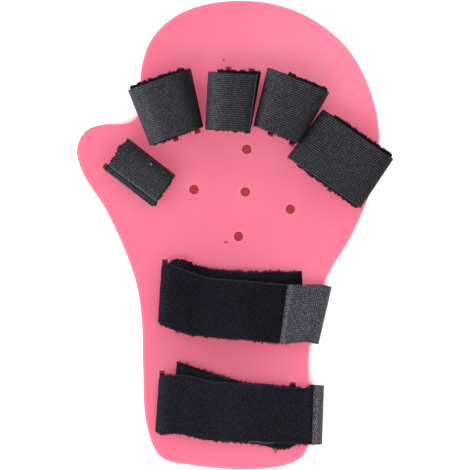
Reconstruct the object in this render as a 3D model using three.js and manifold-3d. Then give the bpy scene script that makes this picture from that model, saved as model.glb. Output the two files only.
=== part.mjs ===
// Finger splint board: a flat hand-shaped plate with a pair of slots for each finger and two pairs
// for the wrist and the forearm. A hook tape and a fuzzy loop tape close over each finger, and a
// long strap with a hook tape at its end wraps over the wrist and over the forearm.
// Millimetres, +X to the little-finger side, +Y to the fingertips, +Z up from the surface it lies on.

import * as THREE from 'three';
import { mergeVertices } from 'three/addons/utils/BufferGeometryUtils.js';
import Module from 'manifold-3d';

// Plate
const boardLength = 300;
const boardWidth = 194;
const boardThickness = 4;
const boardEdgeRadius = 1.2;
const ventDiameter = 6.2;

// Tapes and straps, all cut from stock of one width
const tapeWidth = 38;
const hookTapeThickness = 1.6;
const loopTapeThickness = 2.2;
const layerGap = 0.3;

// Slots
const slotSideClearance = 0.8;
const slotEndPlay = 3;
const fingerSlotPitch = 14.8;

// Finger loops. nestRows: rows of the loop's guide over which the loop tape moves in under the hook
// tape. skewHeight: height above the plate at which a loop has its full skew.
const fingerLoopReach = 20;
const fingerLoopRise = 26;
const loopNestPlay = 0.15;
const nestRows = 2.5;
const skewHeight = 8;
const sewnLap = 20;

// Wrist and forearm straps. foldStartShare, foldStartHeight: where the left fold starts to bow out
// above its slot, as shares of the fold's bow.
const strapLift = 3;
const strapTuck = 31;
const foldStartShare = 0.25;
const foldStartHeight = 0.5;

// Smoothness of the faceted solids
const outlineSteps = 168;
const edgeBevelSteps = 3;
const ventSides = 24;
const stepsPerRow = 4;
const bendSteps = 6;
const foldSteps = 12;

// Values that follow from the sizes above
const slotWidth = loopTapeThickness + 2 * slotSideClearance;
const slotLength = tapeWidth + slotEndPlay;
const slotBendRadius = slotWidth / 2;
const lowRunHeight = hookTapeThickness / 2;
const highRunHeight = hookTapeThickness + layerGap + loopTapeThickness / 2;
const boardUnderside = highRunHeight + loopTapeThickness / 2 + layerGap;
const boardTop = boardUnderside + boardThickness;
const laidHeight = boardTop + layerGap + loopTapeThickness / 2;
const strapPitch = loopTapeThickness + layerGap;
const hookPitch = (hookTapeThickness + loopTapeThickness) / 2 + layerGap;

// Outline of the plate, clockwise from the top: shares of its width and length
const boardOutline = [
  { across: 0.540, along: 1.000 },
  { across: 0.738, along: 0.974 },
  { across: 0.903, along: 0.891 },
  { across: 0.993, along: 0.751 },
  { across: 0.984, along: 0.625 },
  { across: 0.903, along: 0.493 },
  { across: 0.835, along: 0.422 },
  { across: 0.789, along: 0.349 },
  { across: 0.768, along: 0.255 },
  { across: 0.768, along: 0.072 },
  { across: 0.750, along: 0.030 },
  { across: 0.685, along: 0.008 },
  { across: 0.540, along: 0.000 },
  { across: 0.382, along: 0.009 },
  { across: 0.278, along: 0.026 },
  { across: 0.231, along: 0.097 },
  { across: 0.220, along: 0.216 },
  { across: 0.215, along: 0.323 },
  { across: 0.193, along: 0.408 },
  { across: 0.103, along: 0.547 },
  { across: 0.020, along: 0.634 },
  { across: 0.001, along: 0.683 },
  { across: 0.032, along: 0.723 },
  { across: 0.091, along: 0.736 },
  { across: 0.177, along: 0.740 },
  { across: 0.211, along: 0.766 },
  { across: 0.210, along: 0.834 },
  { across: 0.246, along: 0.916 },
  { across: 0.349, along: 0.975 },
];

// Vent holes under the palm: shares of the plate's width and length
const vents = [
  { across: 0.562, along: 0.683 },
  { across: 0.557, along: 0.592 },
  { across: 0.388, along: 0.597 },
  { across: 0.706, along: 0.555 },
  { across: 0.535, along: 0.497 },
];

// Finger loops. across, along: middle of the pair of slots, as shares of the plate. lean: the
// finger's direction, in degrees clockwise from +Y. hookSide: -1 where the hook tape comes up
// through the left slot, 1 where it comes up through the right one. hookFar, hookNear: how far the
// loop bulges on that side, at the fingertip edge and at the palm edge, and loopFar, loopNear the
// same on the other side, as shares of the loop's reach. rise: share of the loop's rise. shift:
// place of the tape along its slots, as a share of the slot's end play. skew: how far the loop leans
// along the finger, as a share of the distance to the right. hookEnd, loopEnd: rows of the loop's
// guide where the tapes end.
const fingers = [
  {
    name: 'thumb', across: 0.197, along: 0.627, lean: -52, hookSide: 1,
    hookFar: 0.745, hookNear: 0.745, loopFar: 0.545, loopNear: 0.48, rise: 0.66,
    shift: -0.45, skew: 0.05, hookEnd: 7.6, loopEnd: 5.7,
  },
  {
    name: 'index', across: 0.331, along: 0.773, lean: -19.5, hookSide: 1,
    hookFar: 0.80, hookNear: 0.56, loopFar: 1.26, loopNear: 1.18, rise: 0.89,
    shift: 0.4, skew: 0, hookEnd: 9.7, loopEnd: 5.6,
  },
  {
    name: 'middle', across: 0.533, along: 0.789, lean: 3.95, hookSide: -1,
    hookFar: 0.97, hookNear: 0.94, loopFar: 0.735, loopNear: 0.525, rise: 1.04,
    shift: -0.45, skew: 0.02, hookEnd: 7.9, loopEnd: 6,
  },
  {
    name: 'ring', across: 0.717, along: 0.763, lean: 24.55, hookSide: -1,
    hookFar: 1.305, hookNear: 0.945, loopFar: 0.725, loopNear: 0.54, rise: 0.96,
    shift: 0.3, skew: 0.05, hookEnd: 9.5, loopEnd: 6.5,
  },
  {
    name: 'pinky', across: 0.868, along: 0.662, lean: 38.5, hookSide: -1,
    hookFar: 1.33, hookNear: 1.265, loopFar: 1.32, loopNear: 1.48, rise: 0.66,
    shift: 0.2, skew: 0.06, hookEnd: 9.7, loopEnd: 5.9,
  },
];

// Side wall of a finger loop from its slot up to the shoulder: side is the share of the way from
// the slot out to the loop's reach, height the share of the loop's rise
const loopWall = [
  { side: 0.00, height: 0.00 },
  { side: 0.03, height: 0.08 },
  { side: 0.30, height: 0.17 },
  { side: 0.80, height: 0.31 },
  { side: 1.00, height: 0.51 },
  { side: 0.93, height: 0.75 },
  { side: 0.66, height: 0.93 },
];

// Straps. across, along: shares of the plate. turn: how far the strap's width direction is turned
// from +Y, in degrees clockwise. lift: share of the strap's lift above the layer below it.
const straps = [
  {
    name: 'wrist',
    leftSlot: { across: 0.292, along: 0.380 },
    rightSlot: { across: 0.736, along: 0.355 },
    strapShift: -0.4,
    freeEnd: [
      { across: 0.319, along: 0.382, turn: 7, lift: 0.9 },
      { across: 0.378, along: 0.373, turn: 8, lift: 0.5 },
      { across: 0.431, along: 0.366, turn: 7, lift: 0.4 },
      { across: 0.573, along: 0.359, turn: 2, lift: 0.6 },
      { across: 0.688, along: 0.359, turn: 0, lift: 0.1 },
    ],
    leftFold: { across: 0.281, along: 0.378, turn: 4 },
    over: [
      { across: 0.355, along: 0.362, turn: 7, lift: 1.2 },
      { across: 0.409, along: 0.349, turn: 7, lift: 1.0 },
      { across: 0.564, along: 0.339, turn: 5.5, lift: 1.1 },
      { across: 0.683, along: 0.332, turn: 7.6, lift: 0.4 },
      { across: 0.728, along: 0.332, turn: 9.5, lift: 0.2 },
    ],
    hookStart: [
      { across: 0.683, along: 0.332, turn: 7.6, lift: 0.4 },
      { across: 0.728, along: 0.332, turn: 9.5, lift: 0.2 },
    ],
    edgeFold: { across: 0.781, along: 0.334, turn: 13, strapEnd: 0, hookStart: 0 },
    tuckTurn: 17,
  },
  {
    name: 'forearm',
    leftSlot: { across: 0.283, along: 0.143 },
    rightSlot: { across: 0.714, along: 0.118 },
    strapShift: -0.45,
    freeEnd: [
      { across: 0.320, along: 0.167, turn: 7, lift: 0.9 },
      { across: 0.434, along: 0.144, turn: 10, lift: 0.5 },
      { across: 0.547, along: 0.123, turn: 8, lift: 0.6 },
      { across: 0.632, along: 0.115, turn: 4, lift: 0.3 },
    ],
    leftFold: { across: 0.272, along: 0.139, turn: 4 },
    over: [
      { across: 0.357, along: 0.138, turn: 7, lift: 1.2 },
      { across: 0.434, along: 0.127, turn: 7, lift: 1.0 },
      { across: 0.550, along: 0.121, turn: 5, lift: 1.1 },
      { across: 0.632, along: 0.120, turn: 2, lift: 0.8 },
      { across: 0.748, along: 0.117, turn: 1, lift: 0.2 },
    ],
    hookStart: [],
    edgeFold: { across: 0.773, along: 0.117, turn: 2, strapEnd: 50, hookStart: 10 },
    tuckTurn: 1,
  },
];

const wasm = await Module();
wasm.setup();

const boardMaterial = new THREE.MeshStandardMaterial({ color: 0xff6f8b, roughness: 0.42, metalness: 0 });
const hookMaterial = new THREE.MeshStandardMaterial({ color: 0x2b2b30, roughness: 0.8, metalness: 0 });
const loopMaterial = new THREE.MeshStandardMaterial({ color: 0x17171b, roughness: 0.95, metalness: 0 });

function boardPlace(row) {
  const x = (row.across - 0.5) * boardWidth;
  const y = (row.along - 0.5) * boardLength;
  return new THREE.Vector2(x, y);
}

// Solids for the cuts and joins

function toSolid(geometry) {
  const bare = geometry.index ? geometry.toNonIndexed() : geometry.clone();
  bare.deleteAttribute('normal');
  bare.deleteAttribute('uv');
  const merged = mergeVertices(bare, 1e-4);
  const vertProperties = new Float32Array(merged.attributes.position.array);
  const triVerts = new Uint32Array(merged.index.array);
  return new wasm.Manifold(new wasm.Mesh({ numProp: 3, vertProperties, triVerts }));
}

function toGeometry(solid) {
  const mesh = solid.getMesh();
  const geometry = new THREE.BufferGeometry();
  geometry.setAttribute('position', new THREE.BufferAttribute(new Float32Array(mesh.vertProperties), 3));
  geometry.setIndex(Array.from(mesh.triVerts));
  geometry.computeVertexNormals();
  return geometry;
}

// Plate with its slots and vents

function cutter(geometry, place, turn) {
  geometry.rotateZ(-THREE.MathUtils.degToRad(turn));
  geometry.translate(place.x, place.y, boardUnderside + boardThickness / 2);
  return toSolid(geometry);
}

function slotCutter(place, turn) {
  return cutter(new THREE.BoxGeometry(slotWidth, slotLength, 2 * boardThickness), place, turn);
}

function ventCutter(place) {
  const radius = ventDiameter / 2;
  const cylinder = new THREE.CylinderGeometry(radius, radius, 2 * boardThickness, ventSides);
  return cutter(cylinder.rotateX(Math.PI / 2), place, 0);
}

function boardGeometry() {
  const corners = boardOutline.map((row) => {
    const place = boardPlace(row);
    return new THREE.Vector3(place.x, place.y, 0);
  });
  const curve = new THREE.CatmullRomCurve3(corners, true, 'centripetal');
  const outline = curve.getSpacedPoints(outlineSteps).slice(0, -1);
  const shape = new THREE.Shape(outline.map((point) => new THREE.Vector2(point.x, point.y)));
  const plate = new THREE.ExtrudeGeometry(shape, {
    depth: boardThickness - 2 * boardEdgeRadius,
    bevelEnabled: true,
    bevelThickness: boardEdgeRadius,
    bevelSize: boardEdgeRadius,
    bevelOffset: -boardEdgeRadius,
    bevelSegments: edgeBevelSteps,
  });
  plate.translate(0, 0, boardUnderside + boardEdgeRadius);

  let solid = toSolid(plate);
  for (const finger of fingers) {
    for (const side of [-1, 1]) {
      const place = boardPlace(finger).addScaledVector(fingerRight(finger), side * fingerSlotPitch / 2);
      solid = solid.subtract(slotCutter(place, finger.lean));
    }
  }
  for (const strap of straps) {
    solid = solid.subtract(slotCutter(boardPlace(strap.leftSlot), 0));
    solid = solid.subtract(slotCutter(boardPlace(strap.rightSlot), 0));
  }
  for (const vent of vents) {
    solid = solid.subtract(ventCutter(boardPlace(vent)));
  }
  return toGeometry(solid);
}

// Ribbons: a band of cloth between two edge lines, one fingertip-side (far) and one palm-side (near)

function ribbonGeometry(sections, thickness) {
  const positions = [];
  const middle = sections.map((section) => section.far.clone().add(section.near).multiplyScalar(0.5));
  sections.forEach((section, i) => {
    const before = middle[Math.max(i - 1, 0)];
    const after = middle[Math.min(i + 1, middle.length - 1)];
    const run = after.clone().sub(before);
    const breadth = section.far.clone().sub(section.near);
    const offset = run.cross(breadth).setLength(thickness / 2);
    const ring = [
      section.far.clone().add(offset),
      section.near.clone().add(offset),
      section.near.clone().sub(offset),
      section.far.clone().sub(offset),
    ];
    ring.forEach((corner) => positions.push(corner.x, corner.y, corner.z));
  });

  const faces = [];
  const ringSize = 4;
  for (let i = 0; i < sections.length - 1; i += 1) {
    for (let k = 0; k < ringSize; k += 1) {
      const a = i * ringSize + k;
      const b = i * ringSize + (k + 1) % ringSize;
      faces.push(a, b, b + ringSize, a, b + ringSize, a + ringSize);
    }
  }
  const last = (sections.length - 1) * ringSize;
  faces.push(0, 2, 1, 0, 3, 2);
  faces.push(last, last + 1, last + 2, last, last + 2, last + 3);

  const geometry = new THREE.BufferGeometry();
  geometry.setAttribute('position', new THREE.Float32BufferAttribute(positions, 3));
  geometry.setIndex(faces);
  return facingOut(geometry);
}

function signedVolume(geometry) {
  const place = geometry.attributes.position;
  const order = geometry.index.array;
  const [a, b, c] = [new THREE.Vector3(), new THREE.Vector3(), new THREE.Vector3()];
  let volume = 0;
  for (let i = 0; i < order.length; i += 3) {
    a.fromBufferAttribute(place, order[i]);
    b.fromBufferAttribute(place, order[i + 1]);
    c.fromBufferAttribute(place, order[i + 2]);
    volume += a.dot(b.cross(c)) / 6;
  }
  return volume;
}

function facingOut(geometry) {
  if (signedVolume(geometry) < 0) {
    const flipped = Array.from(geometry.index.array).reverse();
    geometry.setIndex(flipped);
  }
  geometry.computeVertexNormals();
  return geometry;
}

// A quarter bend, or any arc, in the plane of the side axis and +Z
function arc(centreSide, centreHeight, radius, fromDegrees, toDegrees, steps) {
  const points = [];
  for (let i = 0; i <= steps; i += 1) {
    const angle = THREE.MathUtils.degToRad(fromDegrees + (toDegrees - fromDegrees) * i / steps);
    points.push({
      side: centreSide + radius * Math.cos(angle),
      height: centreHeight + radius * Math.sin(angle),
    });
  }
  return points;
}

// Finger loops

function fingerForward(finger) {
  const lean = THREE.MathUtils.degToRad(finger.lean);
  return new THREE.Vector2(Math.sin(lean), Math.cos(lean));
}

function fingerRight(finger) {
  const lean = THREE.MathUtils.degToRad(finger.lean);
  return new THREE.Vector2(Math.cos(lean), -Math.sin(lean));
}

// The loop seen along the finger, for one of its two edges: side runs from the hook tape's slot
// (negative) to the loop tape's slot (positive), height from the surface below
function loopGuide(finger, hookShare, loopShare) {
  const slotSide = fingerSlotPitch / 2;
  const hookReach = hookShare * fingerLoopReach;
  const loopReach = loopShare * fingerLoopReach;
  const rise = finger.rise * fingerLoopRise;
  const wall = (reach) => loopWall.map((row) => ({
    side: slotSide + row.side * (reach - slotSide),
    height: boardTop + row.height * rise,
  }));
  const hookWall = wall(hookReach).map((point) => new THREE.Vector3(-point.side, 0, point.height));
  const loopSideWall = wall(loopReach).map((point) => new THREE.Vector3(point.side, 0, point.height));
  const crown = new THREE.Vector3((loopReach - hookReach) / 2, 0, boardTop + rise);
  return new THREE.CatmullRomCurve3([...hookWall, crown, ...loopSideWall.reverse()]);
}

const guideRows = 2 * loopWall.length;

// Points of the guide from one row to another, moved inward by depth(row)
function alongGuide(guide, fromRow, toRow, depth) {
  const steps = Math.ceil(Math.abs(toRow - fromRow) * stepsPerRow);
  const points = [];
  for (let i = 0; i <= steps; i += 1) {
    const row = fromRow + (toRow - fromRow) * i / steps;
    const point = guide.getPoint(row / guideRows);
    const tangent = guide.getTangent(row / guideRows);
    points.push({
      side: point.x + tangent.z * depth(row),
      height: point.z - tangent.x * depth(row),
    });
  }
  return points;
}

function hookTapePoints(finger, guide) {
  const slotSide = fingerSlotPitch / 2;
  const bendCentre = lowRunHeight + slotBendRadius;
  return [
    { side: sewnLap - slotSide, height: lowRunHeight },
    ...arc(slotBendRadius - slotSide, bendCentre, slotBendRadius, 270, 180, bendSteps),
    ...alongGuide(guide, 0, finger.hookEnd, () => 0),
  ];
}

function loopTapePoints(finger, guide) {
  const slotSide = fingerSlotPitch / 2;
  const bendCentre = highRunHeight + slotBendRadius;
  const clearOfHookTape = slotBendRadius + hookTapeThickness / 2 + layerGap;
  const depth = (row) => {
    const share = THREE.MathUtils.smoothstep(guideRows - row, 0, nestRows);
    return share * (hookPitch + loopNestPlay);
  };
  return [
    { side: clearOfHookTape - slotSide, height: highRunHeight },
    ...arc(slotSide - slotBendRadius, bendCentre, slotBendRadius, -90, 0, bendSteps),
    ...alongGuide(guide, guideRows, finger.loopEnd, depth),
  ];
}

function fingerSections(finger, pointsOf) {
  const farPoints = pointsOf(finger, loopGuide(finger, finger.hookFar, finger.loopFar));
  const nearPoints = pointsOf(finger, loopGuide(finger, finger.hookNear, finger.loopNear));
  const forward = fingerForward(finger);
  const right = fingerRight(finger);
  const centre = boardPlace(finger);
  const place = (point, edge) => {
    const rightward = -finger.hookSide * point.side;
    const aboveBoard = THREE.MathUtils.clamp((point.height - boardTop) / skewHeight, 0, 1);
    const drift = finger.skew * rightward * aboveBoard;
    const onward = edge * tapeWidth / 2 + finger.shift * slotEndPlay + drift;
    return new THREE.Vector3(
      centre.x + right.x * rightward + forward.x * onward,
      centre.y + right.y * rightward + forward.y * onward,
      point.height,
    );
  };
  return farPoints.map((point, i) => ({ far: place(point, 1), near: place(nearPoints[i], -1) }));
}

// Wrist and forearm straps

function strapSection(x, y, height, turn) {
  const angle = THREE.MathUtils.degToRad(turn);
  const half = new THREE.Vector3(Math.sin(angle), Math.cos(angle), 0).multiplyScalar(tapeWidth / 2);
  const centre = new THREE.Vector3(x, y, height);
  return { far: centre.clone().add(half), near: centre.clone().sub(half) };
}

function strapRow(row, layerHeight) {
  const place = boardPlace(row);
  return strapSection(place.x, place.y, layerHeight + row.lift * strapLift, row.turn);
}

// Smooth run through a few sections
function smoothRun(rows) {
  const far = new THREE.CatmullRomCurve3(rows.map((row) => row.far), false, 'centripetal');
  const near = new THREE.CatmullRomCurve3(rows.map((row) => row.near), false, 'centripetal');
  const steps = (rows.length - 1) * stepsPerRow;
  const sections = [];
  for (let i = 0; i <= steps; i += 1) {
    sections.push({ far: far.getPoint(i / steps), near: near.getPoint(i / steps) });
  }
  return sections;
}

// The fold round the plate's right edge, for a layer that lies depth inside the outermost one
function edgeFoldArc(strap, depth, fromDegrees, toDegrees) {
  const fold = strap.edgeFold;
  const topHeight = laidHeight + strapPitch + edgeLift(strap) + hookPitch;
  const radius = (topHeight - lowRunHeight) / 2;
  const centreHeight = lowRunHeight + radius;
  const centre = boardPlace(fold);
  const angle = THREE.MathUtils.degToRad(fold.turn);
  const steps = Math.ceil(foldSteps * Math.abs(toDegrees - fromDegrees) / 180);
  return arc(0, centreHeight, radius - depth, fromDegrees, toDegrees, steps).map((point) => strapSection(
    centre.x + point.side * Math.cos(angle),
    centre.y - point.side * Math.sin(angle),
    point.height,
    fold.turn,
  ));
}

function edgeLift(strap) {
  return strap.over[strap.over.length - 1].lift * strapLift;
}

function strapSections(strap) {
  const left = boardPlace(strap.leftSlot);
  const right = boardPlace(strap.rightSlot);
  left.y += strap.strapShift * slotEndPlay;
  right.y += strap.strapShift * slotEndPlay;
  const foldRadius = slotBendRadius;

  const free = strap.freeEnd.map((row) => strapRow(row, laidHeight));
  free.push(strapSection(right.x - foldRadius, right.y, laidHeight, 0));
  const downRight = arc(right.x - foldRadius, laidHeight - foldRadius, foldRadius, 90, 0, bendSteps)
    .map((point) => strapSection(point.side, right.y, point.height, 0));
  const turnRight = arc(right.x - foldRadius, highRunHeight + foldRadius, foldRadius, 0, -90, bendSteps)
    .map((point) => strapSection(point.side, right.y, point.height, 0));
  const turnLeft = arc(left.x + foldRadius, highRunHeight + foldRadius, foldRadius, 270, 180, bendSteps)
    .map((point) => strapSection(point.side, left.y, point.height, 0));

  const upper = laidHeight + strapPitch;
  const fold = boardPlace(strap.leftFold);
  const foldTurn = strap.leftFold.turn;
  const bow = left.x - fold.x;
  const over = [
    strapSection(left.x, left.y, boardTop, 0),
    strapSection(
      left.x - foldStartShare * bow,
      left.y,
      boardTop + foldStartHeight * bow,
      foldStartShare * foldTurn,
    ),
    strapSection(fold.x, fold.y, upper, foldTurn),
    strapSection(fold.x + bow, fold.y, upper + strapLift, foldTurn),
    ...strap.over.map((row) => strapRow(row, upper)),
  ];
  const foldEnd = strap.edgeFold.strapEnd;
  const lastFold = foldEnd > 0 ? edgeFoldArc(strap, hookPitch, 90, 90 - foldEnd) : [];
  return [
    ...smoothRun(free).slice(0, -1),
    ...downRight,
    ...turnRight,
    ...turnLeft,
    ...smoothRun(over),
    ...lastFold,
  ];
}

function strapHookSections(strap) {
  const start = strap.hookStart.map((row) => strapRow(row, laidHeight + strapPitch + hookPitch));
  const fold = edgeFoldArc(strap, 0, 90 - strap.edgeFold.hookStart, -90);
  const centre = boardPlace(strap.edgeFold);
  const angle = THREE.MathUtils.degToRad(strap.tuckTurn);
  const tuck = strapSection(
    centre.x - strapTuck * Math.cos(angle),
    centre.y + strapTuck * Math.sin(angle),
    lowRunHeight,
    strap.tuckTurn,
  );
  const lead = start.length > 0 ? smoothRun([...start, fold[0]]).slice(0, -1) : [];
  return [...lead, ...fold, tuck];
}

// The assembly

const assembly = new THREE.Group();

function addPiece(name, geometry, material) {
  const mesh = new THREE.Mesh(geometry, material);
  mesh.name = name;
  assembly.add(mesh);
}

addPiece('board', boardGeometry(), boardMaterial);
for (const finger of fingers) {
  const hookTape = ribbonGeometry(fingerSections(finger, hookTapePoints), hookTapeThickness);
  const loopTape = ribbonGeometry(fingerSections(finger, loopTapePoints), loopTapeThickness);
  addPiece(`${finger.name}_hook_tape`, hookTape, hookMaterial);
  addPiece(`${finger.name}_loop_tape`, loopTape, loopMaterial);
}
for (const strap of straps) {
  const band = ribbonGeometry(strapSections(strap), loopTapeThickness);
  const hookTape = ribbonGeometry(strapHookSections(strap), hookTapeThickness);
  addPiece(`${strap.name}_strap`, band, loopMaterial);
  addPiece(`${strap.name}_hook_tape`, hookTape, hookMaterial);
}

// The origin is the middle of the whole object's footprint, on the surface it lies on
const whole = new THREE.Box3().setFromObject(assembly);
const middle = whole.getCenter(new THREE.Vector3());
assembly.position.set(-middle.x, -middle.y, -whole.min.z);

export default assembly;
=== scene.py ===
import math

import bpy
import numpy as np
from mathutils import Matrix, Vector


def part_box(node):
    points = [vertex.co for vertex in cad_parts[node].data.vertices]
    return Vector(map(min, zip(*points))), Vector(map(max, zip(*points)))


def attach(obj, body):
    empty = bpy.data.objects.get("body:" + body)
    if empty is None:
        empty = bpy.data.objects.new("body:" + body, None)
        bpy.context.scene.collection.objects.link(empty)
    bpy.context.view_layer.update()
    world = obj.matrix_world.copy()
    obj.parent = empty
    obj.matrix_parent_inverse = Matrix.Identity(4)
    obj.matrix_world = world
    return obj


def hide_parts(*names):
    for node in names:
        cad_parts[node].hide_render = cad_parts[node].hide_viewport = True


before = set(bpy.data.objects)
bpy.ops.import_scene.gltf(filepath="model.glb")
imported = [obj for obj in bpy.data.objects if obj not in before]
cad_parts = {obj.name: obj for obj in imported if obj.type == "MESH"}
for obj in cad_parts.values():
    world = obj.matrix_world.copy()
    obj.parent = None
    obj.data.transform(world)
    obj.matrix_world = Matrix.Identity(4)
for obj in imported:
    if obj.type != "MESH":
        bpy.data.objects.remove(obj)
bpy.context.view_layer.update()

METRE = 1000.0

# Sizes of the part
BOARD_LENGTH = 300.0
BOARD_WIDTH = 194.0
TAPE_WIDTH = 38.0
HALF_WIDTH = TAPE_WIDTH / 2
HOOK_THICKNESS = 1.6
LOOP_THICKNESS = 2.2
LAYER_GAP = 0.3
SLOT_SIDE_CLEARANCE = 0.8
SLOT_END_PLAY = 3.0
FINGER_SLOT_PITCH = 14.8
SLOT_SIDE = FINGER_SLOT_PITCH / 2
LOOP_REACH = 20.0
LOOP_RISE = 26.0
NEST_PLAY = 0.15
NEST_ROWS = 2.5
SKEW_HEIGHT = 8.0
SEWN_LAP = 20.0
STRAP_LIFT = 3.0
STRAP_TUCK = 31.0
FOLD_START_SHARE = 0.25
FOLD_START_HEIGHT = 0.5

# The plate's leftmost point lies this far from the middle of its width
PLATE_LEFT = 96.88

board_low, board_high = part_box("board")
PLATE_X = board_low.x * METRE + PLATE_LEFT
BOARD_TOP = board_high.z * METRE
SLOT_RADIUS = LOOP_THICKNESS / 2 + SLOT_SIDE_CLEARANCE
LOW_RUN = HOOK_THICKNESS / 2
HIGH_RUN = HOOK_THICKNESS + LAYER_GAP + LOOP_THICKNESS / 2
LAID_HEIGHT = BOARD_TOP + LAYER_GAP + LOOP_THICKNESS / 2
STRAP_PITCH = LOOP_THICKNESS + LAYER_GAP
HOOK_PITCH = (HOOK_THICKNESS + LOOP_THICKNESS) / 2 + LAYER_GAP

# Nothing comes closer to the floor than this
FLOOR_GAP = 0.05

# Fineness of the cloth meshes
STATION_STEP = 0.85
CURVE_STEPS = 14
BEND_STEPS = 14

# Finger loops, as in the part: middle of the slots in shares of the plate, lean in degrees clockwise
# from +Y, side of the hook tape's slot, how far each tape bulges at its fingertip edge and palm edge
# as shares of the reach, rise as a share, shift in the slots as a share of their play, how far the
# loop slants in plan, and the guide rows where the tapes end
FINGER_COLUMNS = ("name", "across", "along", "lean", "hook_side", "hook_far", "hook_near", "loop_far",
                  "loop_near", "rise", "shift", "skew", "hook_end", "loop_end")
FINGER_ROWS = [
    ("thumb", 0.197, 0.627, -52, 1, 0.745, 0.745, 0.545, 0.48, 0.66, -0.45, 0.05, 7.6, 5.7),
    ("index", 0.331, 0.773, -19.5, 1, 0.80, 0.56, 1.26, 1.18, 0.89, 0.4, 0, 9.7, 5.6),
    ("middle", 0.533, 0.789, 3.95, -1, 0.97, 0.94, 0.735, 0.525, 1.04, -0.45, 0.02, 7.9, 6),
    ("ring", 0.717, 0.763, 24.55, -1, 1.305, 0.945, 0.725, 0.54, 0.96, 0.3, 0.05, 9.5, 6.5),
    ("pinky", 0.868, 0.662, 38.5, -1, 1.33, 1.265, 1.32, 1.48, 0.66, 0.2, 0.06, 9.7, 5.9),
]
FINGERS = [dict(zip(FINGER_COLUMNS, row)) for row in FINGER_ROWS]

# Side wall of a loop: share of the way out from the slot to the reach, and share of the rise
LOOP_WALL = [(0.00, 0.00), (0.03, 0.08), (0.30, 0.17), (0.80, 0.31), (1.00, 0.51), (0.93, 0.75),
             (0.66, 0.93)]
WIDEST_SHARE = max(LOOP_WALL)[1]
GUIDE_ROWS = 2 * len(LOOP_WALL)

# Straps, as in the part: rows of (across, along, turn, lift)
STRAPS = [
    {"name": "wrist", "left_slot": (0.292, 0.380), "right_slot": (0.736, 0.355), "shift": -0.4,
     "free_end": [(0.319, 0.382, 7, 0.9), (0.378, 0.373, 8, 0.5), (0.431, 0.366, 7, 0.4),
                  (0.573, 0.359, 2, 0.6), (0.688, 0.359, 0, 0.1)],
     "left_fold": (0.281, 0.378, 4),
     "over": [(0.355, 0.362, 7, 1.2), (0.409, 0.349, 7, 1.0), (0.564, 0.339, 5.5, 1.1),
              (0.683, 0.332, 7.6, 0.4), (0.728, 0.332, 9.5, 0.2)],
     "hook_start": [(0.683, 0.332, 7.6, 0.4), (0.728, 0.332, 9.5, 0.2)],
     "edge_fold": {"across": 0.781, "along": 0.334, "turn": 13, "strap_end": 0, "hook_start": 0},
     "tuck_turn": 17},
    {"name": "forearm", "left_slot": (0.283, 0.143), "right_slot": (0.714, 0.118), "shift": -0.45,
     "free_end": [(0.320, 0.167, 7, 0.9), (0.434, 0.144, 10, 0.5), (0.547, 0.123, 8, 0.6),
                  (0.632, 0.115, 4, 0.3)],
     "left_fold": (0.272, 0.139, 4),
     "over": [(0.357, 0.138, 7, 1.2), (0.434, 0.127, 7, 1.0), (0.550, 0.121, 5, 1.1),
              (0.632, 0.120, 2, 0.8), (0.748, 0.117, 1, 0.2)],
     "hook_start": [],
     "edge_fold": {"across": 0.773, "along": 0.117, "turn": 2, "strap_end": 50, "hook_start": 10},
     "tuck_turn": 1},
]


# Curves

def unit(rows):
    return rows / np.maximum(np.linalg.norm(rows, axis=-1, keepdims=True), 1e-9)


def spline(points, at):
    """Centripetal curve through points, at row numbers that may be fractions."""
    points = np.asarray(points, float)
    at = np.asarray(at, float)
    row = np.clip(np.floor(at).astype(int), 0, len(points) - 2)
    w = (at - row)[:, None]
    ends = np.vstack([2 * points[0] - points[1], points, 2 * points[-1] - points[-2]])
    p0, p1, p2, p3 = (ends[row + k] for k in range(4))
    spans = ((p0, p1), (p1, p2), (p2, p3))
    d0, d1, d2 = (np.linalg.norm(b - a, axis=1, keepdims=True) ** 0.5 for a, b in spans)
    t1 = ((p1 - p0) / d0 - (p2 - p0) / (d0 + d1) + (p2 - p1) / d1) * d1
    t2 = ((p2 - p1) / d1 - (p3 - p1) / (d1 + d2) + (p3 - p2) / d2) * d1
    return p1 + t1 * w + (3 * (p2 - p1) - 2 * t1 - t2) * w**2 + (2 * (p1 - p2) + t1 + t2) * w**3


def arc(side, height, radius, start, end, steps):
    """Points (side, height) of an arc, with angles in degrees."""
    angles = np.radians(np.linspace(start, end, steps + 1))
    return np.stack([side + radius * np.cos(angles), height + radius * np.sin(angles)], axis=1)


def smoothstep(x, low, high):
    t = np.clip((x - low) / (high - low), 0, 1)
    return t * t * (3 - 2 * t)


def board_place(across, along):
    return np.array([(across - 0.5) * BOARD_WIDTH + PLATE_X, (along - 0.5) * BOARD_LENGTH])


# Paths of the tapes: each gives the fingertip-side edge line and the palm-side edge line

def loop_guide(finger, hook_share, loop_share):
    rise = finger["rise"] * LOOP_RISE

    def wall(reach, sign):
        out = reach - SLOT_SIDE
        return [(sign * (SLOT_SIDE + s * out), BOARD_TOP + h * rise) for s, h in LOOP_WALL]

    hook_reach, loop_reach = hook_share * LOOP_REACH, loop_share * LOOP_REACH
    crown = ((loop_reach - hook_reach) / 2, BOARD_TOP + rise)
    return np.array(wall(hook_reach, -1) + [crown] + wall(loop_reach, 1)[::-1])


def along_guide(guide, start, end, depth):
    """Points of the guide between two rows, moved inward by depth(row)."""
    rows = np.linspace(start, end, int(abs(end - start) * CURVE_STEPS) + 1)
    nudge = 0.001
    points = spline(guide, rows)
    low, high = np.maximum(rows - nudge, 0), np.minimum(rows + nudge, len(guide) - 1)
    tangents = unit(spline(guide, high) - spline(guide, low))
    inward = np.stack([tangents[:, 1], -tangents[:, 0]], axis=1)
    return points + inward * depth(rows)[:, None]


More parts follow.
